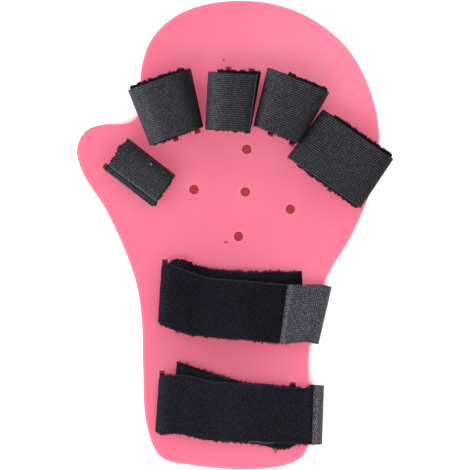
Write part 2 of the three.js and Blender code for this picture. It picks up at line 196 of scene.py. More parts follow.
def hook_tape_points(finger, guide):
    bend = arc(SLOT_RADIUS - SLOT_SIDE, LOW_RUN + SLOT_RADIUS, SLOT_RADIUS, 270, 180, BEND_STEPS)
    start = [(SEWN_LAP - SLOT_SIDE, LOW_RUN)]
    return np.vstack([start, bend, along_guide(guide, 0, finger["hook_end"], lambda rows: 0 * rows)])


def loop_tape_points(finger, guide):
    clear = SLOT_RADIUS + HOOK_THICKNESS / 2 + LAYER_GAP
    bend = arc(SLOT_SIDE - SLOT_RADIUS, HIGH_RUN + SLOT_RADIUS, SLOT_RADIUS, -90, 0, BEND_STEPS)

    def depth(rows):
        return smoothstep(GUIDE_ROWS - rows, 0, NEST_ROWS) * (HOOK_PITCH + NEST_PLAY)

    start = [(clear - SLOT_SIDE, HIGH_RUN)]
    return np.vstack([start, bend, along_guide(guide, GUIDE_ROWS, finger["loop_end"], depth)])


def finger_edges(finger, points_of):
    lean = math.radians(finger["lean"])
    forward = np.array([math.sin(lean), math.cos(lean)])
    right = np.array([math.cos(lean), -math.sin(lean)])
    centre = board_place(finger["across"], finger["along"])

    def place(points, edge):
        rightward = -finger["hook_side"] * points[:, 0]
        above_board = np.clip((points[:, 1] - BOARD_TOP) / SKEW_HEIGHT, 0, 1)
        drift = finger["skew"] * rightward * above_board
        onward = edge * HALF_WIDTH + finger["shift"] * SLOT_END_PLAY + drift
        flat = centre + rightward[:, None] * right + onward[:, None] * forward
        return np.column_stack([flat, points[:, 1]])

    far = points_of(finger, loop_guide(finger, finger["hook_far"], finger["loop_far"]))
    near = points_of(finger, loop_guide(finger, finger["hook_near"], finger["loop_near"]))
    return place(far, 1), place(near, -1)


def strap_section(x, y, height, turn):
    angle = math.radians(turn)
    half = np.array([math.sin(angle), math.cos(angle), 0]) * HALF_WIDTH
    centre = np.array([x, y, height])
    return centre + half, centre - half


def strap_row(row, layer_height):
    across, along, turn, lift = row
    return strap_section(*board_place(across, along), layer_height + lift * STRAP_LIFT, turn)


def smooth_run(rows):
    """Smooth run of sections through a few sections."""
    at = np.linspace(0, len(rows) - 1, (len(rows) - 1) * CURVE_STEPS + 1)
    far = spline([row[0] for row in rows], at)
    near = spline([row[1] for row in rows], at)
    return list(zip(far, near))


def edge_fold_arc(strap, depth, start, end):
    """The fold round the plate's right edge, for a layer that lies depth inside the outermost one."""
    fold = strap["edge_fold"]
    top = LAID_HEIGHT + STRAP_PITCH + strap["over"][-1][3] * STRAP_LIFT + HOOK_PITCH
    radius = (top - LOW_RUN) / 2
    centre = board_place(fold["across"], fold["along"])
    angle = math.radians(fold["turn"])
    steps = max(2, int(2 * BEND_STEPS * abs(end - start) / 180))
    sections = []
    for side, height in arc(0, LOW_RUN + radius, radius - depth, start, end, steps):
        x, y = centre[0] + side * math.cos(angle), centre[1] - side * math.sin(angle)
        sections.append(strap_section(x, y, height, fold["turn"]))
    return sections


def strap_sections(strap):
    left = board_place(*strap["left_slot"]) + (0, strap["shift"] * SLOT_END_PLAY)
    right = board_place(*strap["right_slot"]) + (0, strap["shift"] * SLOT_END_PLAY)
    radius = SLOT_RADIUS

    def bend(side, height, start, end, y):
        return [strap_section(x, y, z, 0) for x, z in arc(side, height, radius, start, end, BEND_STEPS)]

    free = [strap_row(row, LAID_HEIGHT) for row in strap["free_end"]]
    free.append(strap_section(right[0] - radius, right[1], LAID_HEIGHT, 0))
    down_right = bend(right[0] - radius, LAID_HEIGHT - radius, 90, 0, right[1])
    turn_right = bend(right[0] - radius, HIGH_RUN + radius, 0, -90, right[1])
    turn_left = bend(left[0] + radius, HIGH_RUN + radius, 270, 180, left[1])

    upper = LAID_HEIGHT + STRAP_PITCH
    fold_across, fold_along, fold_turn = strap["left_fold"]
    fold = board_place(fold_across, fold_along)
    bow = left[0] - fold[0]
    over = [
        strap_section(left[0], left[1], BOARD_TOP, 0),
        strap_section(left[0] - FOLD_START_SHARE * bow, left[1], BOARD_TOP + FOLD_START_HEIGHT * bow,
                      FOLD_START_SHARE * fold_turn),
        strap_section(fold[0], fold[1], upper, fold_turn),
        strap_section(fold[0] + bow, fold[1], upper + STRAP_LIFT, fold_turn),
        *[strap_row(row, upper) for row in strap["over"]],
    ]
    fold_end = strap["edge_fold"]["strap_end"]
    last_fold = edge_fold_arc(strap, HOOK_PITCH, 90, 90 - fold_end) if fold_end > 0 else []
    return smooth_run(free)[:-1] + down_right + turn_right + turn_left + smooth_run(over) + last_fold


def strap_hook_sections(strap):
    start = [strap_row(row, LAID_HEIGHT + STRAP_PITCH + HOOK_PITCH) for row in strap["hook_start"]]
    fold = edge_fold_arc(strap, 0, 90 - strap["edge_fold"]["hook_start"], -90)
    centre = board_place(strap["edge_fold"]["across"], strap["edge_fold"]["along"])
    angle = math.radians(strap["tuck_turn"])
    x, y = centre[0] - STRAP_TUCK * math.cos(angle), centre[1] + STRAP_TUCK * math.sin(angle)
    tuck = strap_section(x, y, LOW_RUN, strap["tuck_turn"])
    lead = smooth_run([*start, fold[0]])[:-1] if start else []
    return [*lead, *fold, tuck]


def edges_of(sections):
    far, near = zip(*sections)
    return np.array(far), np.array(near)


# Cloth meshes

def evened(far, near, step):
    """The two edge lines with stations an even step apart, and each station's distance along."""
    middle = (far + near) / 2
    lengths = np.linalg.norm(np.diff(middle, axis=0), axis=1)
    keep = np.concatenate([[True], lengths > 1e-6])
    far, near = far[keep], near[keep]
    along = np.concatenate([[0], np.cumsum(lengths[lengths > 1e-6])])
    at = np.linspace(0, along[-1], int(math.ceil(along[-1] / step)) + 1)
    far, near = (np.column_stack([np.interp(at, along, edge[:, k]) for k in range(3)])
                 for edge in (far, near))
    return far, near, at


def lumps(rng, shape, reach):
    """Smooth random relief from -1 to 1 on a grid, with bumps about reach cells long each way."""
    field = rng.normal(size=shape)
    for axis, cells in enumerate(reach):
        kernel = np.hanning(2 * cells + 3)
        kernel /= kernel.sum()
        field = np.apply_along_axis(lambda line: np.convolve(line, kernel, mode="same"), axis, field)
    return field / np.abs(field).max()


# The rounded edge of a tape starts this far in, and its corner point lies at these shares
EDGE_SHOULDER = 0.35
CORNER_IN = 0.3
CORNER_HEIGHT = 0.72

# How fast a point counts as on the upper or lower side as it leaves the middle of the edge
SIDE_STEEPNESS = 1.6

# Faces that meet at more than this many degrees keep a sharp edge
SHARP_ANGLE = 55

# A tape's thickness eases off over the last stretch at both ends, to half of it
EASE_REACH = 0.7
EASE_LEAST = 0.25

# Edges stand out from none at the first to fully at the second of these heights above the plate
WIDEN_LOW = 1.0
WIDEN_HIGH = 6.0


def section_profile(thickness, upper_columns, lower_columns, groove=lambda v: 0.0):
    """Closed section of a tape as rows of (across, height), with rounded edges. groove: how deep the
    upper face lies at a place across."""
    inner = HALF_WIDTH - EDGE_SHOULDER
    corner = HALF_WIDTH - CORNER_IN * EDGE_SHOULDER
    corner_height = CORNER_HEIGHT * thickness / 2
    rows = [(v, thickness / 2 - groove(v)) for v in np.linspace(-inner, inner, upper_columns)]
    rows += [(corner, corner_height), (HALF_WIDTH, 0), (corner, -corner_height)]
    rows += [(v, -thickness / 2) for v in np.linspace(inner, -inner, lower_columns)]
    rows += [(-corner, -corner_height), (-HALF_WIDTH, 0), (-corner, corner_height)]
    return np.array(rows)


def new_object(name, data):
    obj = bpy.data.objects.new(name, data)
    bpy.context.scene.collection.objects.link(obj)
    return obj


def mesh_object(name, points, faces, material, cloth=None):
    data = bpy.data.meshes.new(name)
    data.from_pydata((points / METRE).tolist(), [], faces)
    data.update()
    data.materials.append(material)
    data.polygons.foreach_set("use_smooth", [True] * len(data.polygons))
    data.set_sharp_from_angle(angle=math.radians(SHARP_ANGLE))
    if cloth is not None:
        place = data.attributes.new("cloth", "FLOAT_VECTOR", "POINT")
        place.data.foreach_set("vector", cloth.astype(np.float32).ravel())
    return new_object(name, data)


def signed_volume(points, quads):
    a, b, c, d = (points[quads[:, k]] for k in range(4))
    return np.sum(a * np.cross(b, c)) + np.sum(a * np.cross(c, d))


class Band:
    """One tape or strap: its mesh points in a grid of stations by places round the section."""

    def __init__(self, far, near, outward, profile):
        far, near, self.at = evened(far, near, STATION_STEP)
        self.profile = profile
        self.middle = (far + near) / 2
        self.across = unit(far - near)
        self.onward = unit(np.gradient(self.middle, axis=0))
        self.normal = outward * unit(np.cross(self.onward, self.across))
        stations, places = len(self.at), len(profile)
        self.v = np.tile(profile[:, 0], (stations, 1))
        self.h = np.tile(profile[:, 1], (stations, 1))
        side = profile[:, 1] / np.abs(profile[:, 1]).max() * SIDE_STEEPNESS
        self.side = np.tile(np.clip(side, -1, 1), (stations, 1))
        self.shape = (stations, places)
        self.u = np.zeros(self.shape)

    def round_ends(self):
        left = np.minimum(self.at, self.at[-1] - self.at)
        ease = np.sqrt(np.clip(EASE_LEAST + (1 - EASE_LEAST) * left / EASE_REACH, 0, 1))
        self.h *= ease[:, None]

    def widen(self, far_by, near_by):
        """Above the plate the band reaches further out on its far and near edges."""
        above = smoothstep(self.middle[:, 2], BOARD_TOP + WIDEN_LOW, BOARD_TOP + WIDEN_HIGH)
        share = self.v / HALF_WIDTH
        self.v += np.where(share > 0, far_by, near_by) * above[:, None] * share

    def slide_at(self, stations, across):
        """How far across from its place in the section a point lies, once the edges have moved."""
        at = np.arange(len(self.at))
        far_by = np.interp(stations, at, self.v.max(axis=1) - HALF_WIDTH)
        near_by = np.interp(stations, at, -self.v.min(axis=1) - HALF_WIDTH)
        share = across / HALF_WIDTH
        return np.where(share > 0, far_by, near_by) * share * np.abs(share)

    def bulge(self, where, reach, by):
        """The band stands further out round a distance along it."""
        near = smoothstep(-np.abs(self.at - where), -reach, 0)
        self.middle = self.middle + self.normal * (by * near)[:, None]

    def at_height(self, height):
        """Distance along the band where it is nearest to a height."""
        return self.at[np.argmin(np.abs(self.middle[:, 2] - height))]

    def curl_end(self, reach, back, out, up, corner):
        """The far corner of the first stretch is rounded, swells back and outward, and rolls up."""
        fade = smoothstep(-self.at, -reach, 0)
        bump = np.sin(np.pi * np.clip(self.at / reach, 0, 1)) ** 0.5
        weight = np.clip(self.v / HALF_WIDTH, 0, 1) ** 5
        self.u -= weight * fade[:, None] * back
        cut = np.clip(1 - 2.5 * self.at / reach, 0, 1) ** 2
        self.v += weight * (bump * out - cut * corner)[:, None]
        self.h += weight * bump[:, None] * up

    def round_fold(self, where, reach, by):
        """Both edges draw in round a fold, at a distance along the band."""
        near = np.clip(1 - np.abs(self.at - where) / reach, 0, 1) ** 2
        self.v -= self.v / HALF_WIDTH * near[:, None] * by

    def swell(self, where, reach, by, edge, lowest):
        """The far (1) or near (-1) edge bulges at a distance along the band, above a lowest height."""
        fade = 0.8
        bump = np.clip(1 - (np.abs(self.at - where) / reach) ** 2, 0, 1)
        above = smoothstep(self.middle[:, 2], lowest, lowest + fade)
        weight = np.clip(edge * self.v / HALF_WIDTH, 0, 1) ** 2
        self.v += edge * weight * (bump * above)[:, None] * by

    def press_seam(self, start, end, height):
        """A slightly raised strip across the band, between two distances along it."""
        rise, fall = 0.6, 0.8
        raised = smoothstep(self.at, start, start + rise) * smoothstep(-self.at, -end - fall, -end)
        self.h += np.where(self.h > 0, raised[:, None] * height, 0)

    def points(self):
        grid = self.middle[:, None, :] + self.across[:, None, :] * self.v[:, :, None]
        grid = grid + self.onward[:, None, :] * self.u[:, :, None]
        grid = grid + self.normal[:, None, :] * self.h[:, :, None]
        grid[:, :, 2] = np.maximum(grid[:, :, 2], FLOOR_GAP)
        return grid

    def build(self, name, material):
        points = self.points().reshape(-1, 3)
        stations, places = self.shape
        start = np.arange(stations - 1)[:, None] * places
        place = np.arange(places)[None, :]
        a, b = start + place, start + (place + 1) % places
        quads = np.stack([a, b, b + places, a + places], axis=2).reshape(-1, 4)
        caps = [list(range(places))[::-1], list(range((stations - 1) * places, stations * places))]
        if signed_volume(points - points.mean(axis=0), quads) < 0:
            quads = quads[:, ::-1]
            caps = [cap[::-1] for cap in caps]
        faces = quads.tolist() + caps
        across, along = np.meshgrid(self.profile[:, 0], self.at)
        cloth = np.stack([across, along, self.side], axis=2)
        return mesh_object(name, points, faces, material, cloth.reshape(-1, 3))


# Fibres

def fibre_object(name, roots, directions, lengths, thickness, material):
    """Many small closed spikes in one mesh, each from its root along its direction, above the floor."""
    directions = unit(directions)
    kept = roots[:, 2] + np.minimum(directions[:, 2], 0) * lengths - thickness / 2 > FLOOR_GAP
    roots, directions, lengths = roots[kept], directions[kept], lengths[kept]
    up, right = np.array([[0.0, 0.0, 1.0]]), np.array([[1.0, 0.0, 0.0]])
    helper = np.where(np.abs(directions[:, 2:3]) < 0.9, up, right)
    first = unit(np.cross(directions, helper))
    second = np.cross(directions, first)
    corners = []
    for turn in range(3):
        angle = 2 * math.pi * turn / 3
        spoke = math.cos(angle) * first + math.sin(angle) * second
        corners.append(roots + spoke * thickness / 2)
    tips = roots + directions * lengths[:, None]
    points = np.stack([*corners, tips], axis=1).reshape(-1, 3)
    base = np.arange(len(roots))[:, None] * 4
    faces = np.concatenate([base + row for row in ([2, 1, 0], [0, 1, 3], [1, 2, 3], [2, 0, 3])])
    return mesh_object(name, points, faces.tolist(), material)


# How fibres lie: how near the faces their roots are, the share on the upper face, how much they rise
# from a face or lie along it, how far in those of an edge are rooted, how much those lean along and
# up, and how the edge's tufts vary in length
ROOT_SHARE = 0.9
UPPER_SHARE = 0.65
FACE_RISE = 0.55
FACE_LIE = 0.7
EDGE_INSET = 0.3
EDGE_LIE = 0.45
EDGE_RISE = 0.35
TUFT_MIDDLE = 0.7
TUFT_SPREAD = 0.6
TUFT_LIMITS = (0.2, 1.7)

# Thickness of the short fibres, and the lengths of those on the faces, in millimetres
FIBRE_THICKNESS = 0.16
FACE_REACH = (0.5, 1.0)


def on_band(band, stations, across, side):
    """Points and outward directions on a band's faces, at station numbers that may be fractions."""
    across = across + band.slide_at(stations, across)
    low = np.clip(stations.astype(int), 0, len(band.at) - 2)
    share = (stations - low)[:, None]

    def mix(rows):
        return rows[low] * (1 - share) + rows[low + 1] * share

    breadth, normal = mix(band.across), mix(band.normal)
    thickness = np.abs(band.profile[:, 1]).max()
    depth = side * thickness * ROOT_SHARE
    place = mix(band.middle) + breadth * across[:, None] + normal * depth[:, None]
    return place, breadth, normal, mix(band.onward)


def fuzz(band, rng, name, material, on_faces, on_edges, edge_reach):
    """Short fibres that lie on the faces and stand out past both edges of a band."""
    last = len(band.at) - 1
    stations = rng.uniform(0, last, on_faces)
    across = rng.uniform(-HALF_WIDTH, HALF_WIDTH, on_faces)
    side = rng.choice([-1.0, 1.0], on_faces, p=[1 - UPPER_SHARE, UPPER_SHARE])
    roots, breadth, normal, onward = on_band(band, stations, across, side)
    lie = FACE_LIE * rng.normal(size=(on_faces, 2))
    directions = normal * (side * FACE_RISE)[:, None] + breadth * lie[:, :1] + onward * lie[:, 1:]
    lengths = rng.uniform(*FACE_REACH, on_faces)

    stations = rng.uniform(0, last, on_edges)
    sign = rng.choice([-1.0, 1.0], on_edges)
    tuft = np.interp(stations, np.arange(last + 1), rng.normal(size=last + 1))
    side = rng.uniform(-ROOT_SHARE, ROOT_SHARE, on_edges)
    across = sign * (HALF_WIDTH - EDGE_INSET)
    edge_roots, breadth, normal, onward = on_band(band, stations, across, side)
    lean = rng.normal(size=(on_edges, 2)) * (EDGE_LIE, EDGE_RISE)
    edge_directions = breadth * sign[:, None] + onward * lean[:, :1] + normal * lean[:, 1:]
    edge_lengths = rng.uniform(*edge_reach, on_edges)
    edge_lengths *= np.clip(TUFT_MIDDLE + TUFT_SPREAD * tuft, *TUFT_LIMITS)

    roots = np.vstack([roots, edge_roots])
    directions = np.vstack([directions, edge_directions])
    lengths = np.concatenate([lengths, edge_lengths])
    return fibre_object(name, roots, directions, lengths, FIBRE_THICKNESS, material)


def thread_object(name, paths, thickness, material):
    """Loose threads: closed tubes along a few smooth paths."""
    sides, steps = 5, 6
    aside = (0.31, 0.17, 0.94)
    points, faces = [], []
    for path in paths:
        line = spline(path, np.linspace(0, len(path) - 1, steps * len(path)))
        forward = unit(np.gradient(line, axis=0))
        first = unit(np.cross(forward, aside))
        second = np.cross(forward, first)
        start = len(points)
        for centre, a, b in zip(line, first, second):
            for turn in range(sides):
                angle = 2 * math.pi * turn / sides
                points.append(centre + (math.cos(angle) * a + math.sin(angle) * b) * thickness / 2)
        for i in range(len(line) - 1):
            for k in range(sides):
                here, beside = start + i * sides + k, start + i * sides + (k + 1) % sides
                faces.append((here, beside, beside + sides, here + sides))
        faces.append(tuple(range(start, start + sides))[::-1])
        faces.append(tuple(range(start + (len(line) - 1) * sides, start + len(line) * sides)))
    return mesh_object(name, np.array(points), faces, material)


# Materials

def new_material(name, **sockets):
    material = bpy.data.materials.new(name)
    material.use_nodes = True
    tree = material.node_tree
    shader = tree.nodes["Principled BSDF"]
    for socket, value in sockets.items():
        shader.inputs[socket.replace("_", " ")].default_value = value
    return material, tree, shader


def fill(tree, socket, value):
    """Gives a socket another node's output, or a constant."""
    if isinstance(value, bpy.types.NodeSocket):
        tree.links.new(value, socket)
    else:
        socket.default_value = value


def add(tree, kind, settings=None, **inputs):
    """A node with its settings, whose inputs are constants or other nodes' outputs."""
    node = tree.nodes.new(kind)
    for key, value in (settings or {}).items():
        setattr(node, key, value)
    for key, value in inputs.items():
        fill(tree, node.inputs[key.replace("_", " ")], value)
    return node


def calc(tree, operation, a, b=0.0):
    node = tree.nodes.new("ShaderNodeMath")
    node.operation = operation
    fill(tree, node.inputs[0], a)
    fill(tree, node.inputs[1], b)
    return node.outputs[0]


def times(tree, a, b):
    return calc(tree, "MULTIPLY", a, b)


def plus(tree, a, b):
    return calc(tree, "ADD", a, b)


def blend_colour(tree, share, low, high):
    """Mixes two colours. Inputs 6 and 7 of the node are its colours, and output 2 is the mixed one."""
    node = tree.nodes.new("ShaderNodeMix")
    node.data_type = "RGBA"
    for place, value in ((0, share), (6, low), (7, high)):
        fill(tree, node.inputs[place], value)
    return node.outputs[2]


def ramp(tree, value, low, high):
    """0 where the value is low, 1 where it is high, and even between."""
    node = add(tree, "ShaderNodeMapRange", {"clamp": True}, Value=value, From_Min=low, From_Max=high)
    return node.outputs[0]


def noise(tree, vector, scale, detail=2.0, roughness=0.5):
    node = add(tree, "ShaderNodeTexNoise", Vector=vector, Scale=scale, Detail=detail,
               Roughness=roughness)
    return node.outputs["Fac"]


def position(tree):
    return add(tree, "ShaderNodeNewGeometry").outputs["Position"]


def openness(tree, distance, samples, inside=False):
    """1 where nothing lies near the surface, and less where its surroundings close in. inside: looks
    into the body, and so finds its rims."""
    settings = {"samples": samples, "inside": inside}
    return add(tree, "ShaderNodeAmbientOcclusion", settings, Distance=distance).outputs["AO"]


def wave(tree, value, pitch, shift=0.0):
    """A smooth wave from 0 to 1 with the given pitch."""
    turns = plus(tree, times(tree, value, 2 * math.pi / pitch), shift)
    return ramp(tree, calc(tree, "SINE", turns), -1.0, 1.0)


def set_bump(tree, shader, height, strength, distance):
    bump = add(tree, "ShaderNodeBump", Strength=strength, Distance=distance, Height=height)
    tree.links.new(bump.outputs["Normal"], shader.inputs["Normal"])


# The photograph's scale in millimetres for each pixel, and its middle in pixels
PIXEL = 0.6398
PHOTO_MIDDLE = 235.0

# Small dark marks in the plate: place in the photograph's pixels and radius in millimetres, with the
# share of the radius that is darkest, and how strong a mark is
SCUFFS = [(223.5, 60.0, 1.0), (226.6, 242.2, 0.9), (224.8, 242.2, 0.8), (283.0, 143.4, 0.5)]
SCUFF_CORE = 0.4
SCUFF_SHARE = 0.85

# Painted shade darkens the plate in the middle of the forearm part, standing in for the straps' shadow,
# and painted light makes it paler round the fingertips: centre, and half width and half length, of
# each patch, in metres
PAINTED_SHADE_MIDDLE = (-0.008, -0.062)
PAINTED_SHADE_REACH = (0.075, 0.085)
PAINTED_SHADE_SHARE = 0.75
PAINTED_LIGHT_MIDDLE = (0.045, 0.100)
PAINTED_LIGHT_REACH = (0.105, 0.068)

# Colours of the plate: its faintly mottled ground, the painted shade patch and the painted light patch,
# the painted rim highlight, the painted shade in its slots and holes, the dark marks, and the painted
# glow of shaded stretches
PLASTIC_LOW = (0.81, 0.182, 0.282, 1)
PLASTIC_HIGH = (0.83, 0.198, 0.302, 1)
PAINTED_SHADE_COLOUR = (0.50, 0.095, 0.150, 1)
PAINTED_LIGHT_COLOUR = (1.0, 0.27, 0.39, 1)
PAINTED_RIM_HIGHLIGHT = (0.76, 0.28, 0.36, 1)
PAINTED_RECESS_SHADE = (0.70, 0.02, 0.035, 1)
PLASTIC_MARK = (0.16, 0.01, 0.025, 1)
PAINTED_GLOW_COLOUR = (0.25, 0.032, 0.058, 1)
BLACK = (0, 0, 0, 1)


def from_photo(across, down, height):
    """The place in millimetres of a point given in the photograph's pixels."""
    return (across - PHOTO_MIDDLE) * PIXEL, (PHOTO_MIDDLE - down) * PIXEL, height


def patch(tree, x, y, middle, reach):
    """1 in the middle of an oval patch, falling smoothly to 0 at its edge."""
    far_x = times(tree, plus(tree, x, -middle[0]), 1 / reach[0])
    far_y = times(tree, plus(tree, y, -middle[1]), 1 / reach[1])
    far = calc(tree, "SQRT", plus(tree, times(tree, far_x, far_x), times(tree, far_y, far_y)))
    node = add(tree, "ShaderNodeMapRange", {"interpolation_type": "SMOOTHSTEP"}, Value=far,
               From_Min=1.0, From_Max=0.0)
    return node.outputs[0]


def away_from(tree, place, centre):
    node = add(tree, "ShaderNodeVectorMath", {"operation": "DISTANCE"})
    fill(tree, node.inputs[0], place)
    fill(tree, node.inputs[1], centre)
    return node.outputs["Value"]


def board_material():
    """Satin plastic that lets some light through, with painted light and shade: a painted red glow
    where walls and layers shade it, painted shade in recesses and over the forearm part, painted light
    round the fingertips, and a painted highlight along its rims."""
    material, tree, shader = new_material(
        "board_plastic", Roughness=0.45, IOR=1.46, Specular_IOR_Level=0.3, Subsurface_Weight=0.8,
        Subsurface_Scale=0.005, Subsurface_Radius=(1.0, 0.18, 0.24), Emission_Strength=1.0)
    place = position(tree)
    mottled = ramp(tree, noise(tree, place, scale=14.0), 0.35, 0.65)
    colour = blend_colour(tree, mottled, PLASTIC_LOW, PLASTIC_HIGH)
    x, y, _ = add(tree, "ShaderNodeSeparateXYZ", Vector=place).outputs
    # Painted shade: the plate is darkened over the forearm part, where the straps would shade it
    deep = times(tree, patch(tree, x, y, PAINTED_SHADE_MIDDLE, PAINTED_SHADE_REACH), PAINTED_SHADE_SHARE)
    colour = blend_colour(tree, deep, colour, PAINTED_SHADE_COLOUR)
    # Painted light: the plate is made paler round the fingertips, against the shade the loops cast
    # there
    painted_light = patch(tree, x, y, PAINTED_LIGHT_MIDDLE, PAINTED_LIGHT_REACH)
    colour = blend_colour(tree, painted_light, colour, PAINTED_LIGHT_COLOUR)
    # Painted highlight: the plate is paler along its rims, where light catches the rounded edges
    rim_highlight = ramp(tree, openness(tree, 0.0022, 6, inside=True), 0.97, 0.45)
    colour = blend_colour(tree, rim_highlight, colour, PAINTED_RIM_HIGHLIGHT)
    # Painted shade: the plate turns deep dark red where close surroundings hide it, in slots, holes and
    # under the tapes
    walls = ramp(tree, openness(tree, 0.005, 6), 0.62, 0.2)
    colour = blend_colour(tree, walls, colour, PAINTED_RECESS_SHADE)
    for across, down, radius in SCUFFS:
        centre = [value / METRE for value in from_photo(across, down, BOARD_TOP)]
        away = away_from(tree, place, centre)
        mark = ramp(tree, away, radius / METRE, SCUFF_CORE * radius / METRE)
        colour = blend_colour(tree, times(tree, mark, SCUFF_SHARE), colour, PLASTIC_MARK)
    tree.links.new(colour, shader.inputs["Base Color"])
    # Painted glow: the plate gives off red light where walls and layers shade it, standing in for light
    # through the plastic
    shaded = ramp(tree, openness(tree, 0.03, 8), 0.98, 0.3)
    glow = blend_colour(tree, shaded, BLACK, PAINTED_GLOW_COLOUR)
    tree.links.new(glow, shader.inputs["Emission Color"])
    fine = times(tree, noise(tree, place, scale=900.0, detail=3.0), 0.35)
    grain = plus(tree, fine, noise(tree, place, scale=60.0))
    set_bump(tree, shader, grain, strength=0.15, distance=0.0004)
    return material


def cloth_place(tree):
    """The point's place on its cloth in millimetres: the vector, across, along and side."""
    settings = {"attribute_type": "GEOMETRY", "attribute_name": "cloth"}
    vector = add(tree, "ShaderNodeAttribute", settings).outputs["Vector"]
    across, along, side = add(tree, "ShaderNodeSeparateXYZ", Vector=vector).outputs
    return vector, across, along, side


# Painted side light: which way the cloth faces where it is painted brightest, as if lit from the near
# left
PAINTED_LIGHT_DIRECTION = (-0.75, -0.66, 0.0)

# Distance between the cross threads of the woven tapes, in millimetres
THREAD_PITCH = 1.3


def painted_side_light(tree):
    """Painted side light: 1 where the cloth leans to the near left, falling to 0 where it leans away,
    as if lit from there.
    """
    normal = add(tree, "ShaderNodeNewGeometry").outputs["Normal"]
    facing = add(tree, "ShaderNodeVectorMath", {"operation": "DOT_PRODUCT"})
    fill(tree, facing.inputs[0], normal)
    fill(tree, facing.inputs[1], PAINTED_LIGHT_DIRECTION)
    return ramp(tree, facing.outputs["Value"], -0.17, 0.35)


def tape_material(name, dark, light, fleck, *, rib_pitch, rib_share, flecked, lean, ridge=None):
    """Woven hook tape: lengthwise ribs with painted shade in their grooves, crossed by fine threads,
    with bright flecks on the threads, and with stiff hooks on its other side. The cut end where along
    is 0 has a painted
    highlight. rib_share: how much of the weave's contrast is in the ribs. flecked: noise above which a
    fleck
    shows. lean: how much the tone takes of the painted side light. ridge: how far along the tape a
    pressed seam with painted glints ends, in place of the cut end's painted highlight."""
    material, tree, shader = new_material(name, Roughness=0.5, Specular_IOR_Level=0.12)
    vector, across, along, side = cloth_place(tree)
    # The weave's rib pattern, with painted shade: darkest in the grooves
    ribs_and_groove_shade = wave(tree, across, rib_pitch, -math.pi / 2)
    turned = times(tree, calc(tree, "GREATER_THAN", wave(tree, across, 2 * rib_pitch), 0.5), math.pi)
    swing = calc(tree, "SINE", plus(tree, times(tree, along, 2 * math.pi / THREAD_PITCH), turned))
    thread = ramp(tree, swing, -0.7, 0.7)
    weave = times(tree, plus(tree, 1 - rib_share, times(tree, ribs_and_groove_shade, rib_share)),
                  plus(tree, 0.3, times(tree, thread, 0.7)))
    patchy = ramp(tree, noise(tree, vector, scale=0.6, detail=4.0, roughness=0.75), 0.36, 0.66)
    # Painted side light: the tape's tone and flecks are brighter where it faces the near left
    painted_side_share = plus(tree, 1 - 0.9 * lean, times(tree, painted_side_light(tree), 1.65 * lean))
    share = times(tree, times(tree, weave, painted_side_share), plus(tree, 0.4, times(tree, patchy, 0.9)))
    colour = blend_colour(tree, share, dark, light)
    spots = ramp(tree, noise(tree, vector, scale=1.7, detail=1.0), flecked, flecked + 0.10)
    spots = times(tree, times(tree, spots, painted_side_share), plus(tree, 0.3, times(tree, weave, 0.7)))
    coarse = noise(tree, vector, scale=1.9, detail=3.0, roughness=0.7)
    height = plus(tree, weave, times(tree, coarse, 0.5))
    if ridge is None:
        # Painted highlight: the cut end is lighter, as light catches its edge
        cut = ramp(tree, along, 1.3, 0.5)
        spots = plus(tree, spots, times(tree, cut, 0.25))
    else:
        # Painted highlight: glinting specks along the raised seam at the hook tape's start
        pressed = times(tree, ramp(tree, along, 0.3, 2.0), ramp(tree, along, ridge + 1.2, ridge - 0.6))
        glint = ramp(tree, noise(tree, vector, scale=0.9, detail=3.0, roughness=0.8), 0.44, 0.62)
        spots = plus(tree, spots, times(tree, pressed, times(tree, glint, 0.4)))
    colour = blend_colour(tree, spots, colour, fleck)
    hooks = add(tree, "ShaderNodeTexVoronoi", Vector=vector, Scale=1.3).outputs["Distance"]
    under = ramp(tree, side, -0.2, -0.6)
    colour = blend_colour(tree, times(tree, under, plus(tree, 0.4, hooks)), colour, dark)
    tree.links.new(colour, shader.inputs["Base Color"])
    height = plus(tree, height, times(tree, under, hooks))
    set_bump(tree, shader, height, strength=0.9, distance=0.0004)
    return material


def pile_material(name, dark, light, painted_edge_highlight):
    """Brushed loop pile: small dark tufts on a knitted ground, with a painted highlight along the far
    edge past the first stretch and painted side light, and lighter towards the forearm's end of the
    plate."""
    material, tree, shader = new_material(name, Roughness=0.9, Specular_IOR_Level=0.06)
    vector, across, along, side = cloth_place(tree)
    tufts = add(tree, "ShaderNodeTexVoronoi", Vector=vector, Scale=1.1).outputs["Distance"]
    fine = noise(tree, vector, scale=1.2, detail=3.0, roughness=0.8)
    knit = times(tree, wave(tree, across, 1.55), wave(tree, along, THREAD_PITCH))
    share = plus(tree, times(tree, ramp(tree, fine, 0.42, 0.68), 0.65), times(tree, knit, 0.35))
    # Painted side light: the pile is brighter where it faces the near left
    share = times(tree, share, plus(tree, 0.35, times(tree, painted_side_light(tree), 1.3)))
    y = add(tree, "ShaderNodeSeparateXYZ", Vector=position(tree)).outputs["Y"]
    share = times(tree, share, plus(tree, 1.0, times(tree, ramp(tree, y, -0.05, -0.09), 0.6)))
    colour = blend_colour(tree, share, dark, light)
    # Painted highlight: the upper side's far edge is paler, where the edge catches the light
    edge = ramp(tree, across, HALF_WIDTH - 1.0, HALF_WIDTH - 0.3)
    edge = times(tree, times(tree, edge, ramp(tree, side, 0.3, 0.9)), ramp(tree, along, 16.0, 22.0))
    colour = blend_colour(tree, times(tree, edge, plus(tree, 0.35, fine)), colour, painted_edge_highlight)
    tree.links.new(colour, shader.inputs["Base Color"])
    relief = plus(tree, times(tree, tufts, -0.7), times(tree, knit, 0.5))
    height = plus(tree, times(tree, fine, 0.9), relief)
    set_bump(tree, shader, height, strength=1.0, distance=0.0007)
    return material


